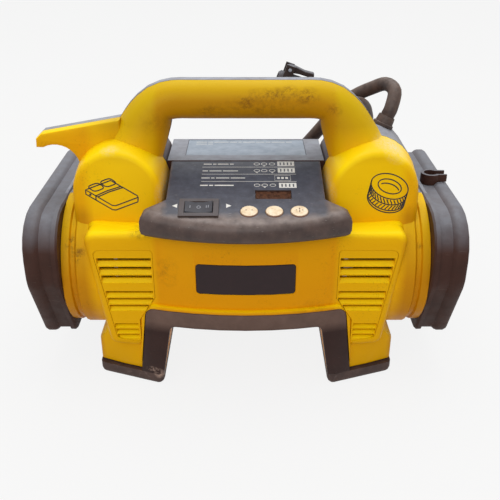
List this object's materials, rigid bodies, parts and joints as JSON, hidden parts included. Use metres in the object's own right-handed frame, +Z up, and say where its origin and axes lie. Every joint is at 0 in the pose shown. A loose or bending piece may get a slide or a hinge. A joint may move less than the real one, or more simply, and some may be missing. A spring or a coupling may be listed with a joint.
{
  "type": "cordless tyre inflator",
  "caption": "Cordless tyre inflator and deflator: two-tone barrel housing with a carry handle, control panel, louvred vents, battery bay and a lever-chuck hose.",
  "frame": {"origin": "on the floor under the middle of the housing, feet down", "axes": "+X to the right as seen from the control panel, -Y to the front where the panel is, +Z up"},
  "size_m": [0.338, 0.2102, 0.2425],
  "materials": {
    "brass": "turned",
    "button_cream": "satin",
    "cast_aluminium": "as cast",
    "circuit_board": "solder mask",
    "display_lens": "smoked and glossy",
    "housing_charcoal": "fine spark-eroded texture",
    "housing_yellow": "fine spark-eroded texture",
    "nylon_white": "natural nylon",
    "rubber_black": "matt",
    "steel": "zinc plated",
    "trim_black": "satin"
  },
  "bodies": {
    "housing": {"badge_plate": "trim_black", "battery_socket": "trim_black", "battery_terminals": "nylon_white", "blower_bracket": "cast_aluminium", "blower_casing": "housing_charcoal", "blower_motor": "steel", "chuck_body": "trim_black", "circuit_board": "circuit_board", "compressor_bracket": "cast_aluminium", "compressor_motor": "steel", "control_panel": "trim_black", "crank_gear": "steel", "cylinder_head": "cast_aluminium", "deck_label": "housing_charcoal", "deflate_port": "housing_charcoal", "display_lens": "display_lens", "display_module": "nylon_white", "drive_pinion": "brass", "front_shell": "housing_yellow", "front_trim": "trim_black", "hose": "rubber_black", "hose_clip": "trim_black", "hose_ferrule": "brass", "hose_gland": "rubber_black", "inflate_port": "housing_charcoal", "left_end_cap": "housing_charcoal", "lever_pin": "steel", "piston_rod": "cast_aluminium", "pressure_sensor": "rubber_black", "pump_cylinder": "cast_aluminium", "rear_shell": "housing_charcoal", "right_end_cap": "housing_charcoal", "sole_left": "rubber_black", "sole_right": "rubber_black", "switch_bezel": "trim_black", "vent_grille_left": "housing_yellow", "vent_grille_right": "housing_yellow"},
    "rocker": {"rocker_switch": "rubber_black"},
    "button_1": {"button_1": "button_cream"},
    "button_2": {"button_2": "button_cream"},
    "button_3": {"button_3": "button_cream"},
    "impeller": {"blower_impeller": "nylon_white"},
    "chuck_lever": {"chuck_lever": "trim_black"}
  },
  "joints": [
    {"name": "rocker_tilt", "type": "hinge", "parent": "housing", "child": "rocker", "pos_m": [-0.034, -0.0805, 0.15724], "axis": [0, 0.9724, 0.2334], "range_deg": [-9, 9]},
    {"name": "button_1_press", "type": "slide", "parent": "housing", "child": "button_1", "axis": [0, 0.2334, -0.9724], "range_m": [0, 0.001], "stiffness_N_per_m": 300, "springref_m": -0.0004},
    {"name": "button_2_press", "type": "slide", "parent": "housing", "child": "button_2", "axis": [0, 0.2334, -0.9724], "range_m": [0, 0.001], "stiffness_N_per_m": 300, "springref_m": -0.0004},
    {"name": "button_3_press", "type": "slide", "parent": "housing", "child": "button_3", "axis": [0, 0.2334, -0.9724], "range_m": [0, 0.001], "stiffness_N_per_m": 300, "springref_m": -0.0004},
    {"name": "impeller_spin", "type": "hinge", "parent": "housing", "child": "impeller", "pos_m": [-0.1182, 0.007, 0.088], "axis": [1, 0, 0], "continuous": true},
    {"name": "chuck_lever_lift", "type": "hinge", "parent": "housing", "child": "chuck_lever", "pos_m": [0.03437, 0.0078, 0.23838], "axis": [0, -1, 0], "range_deg": [0, 80]}
  ]
}
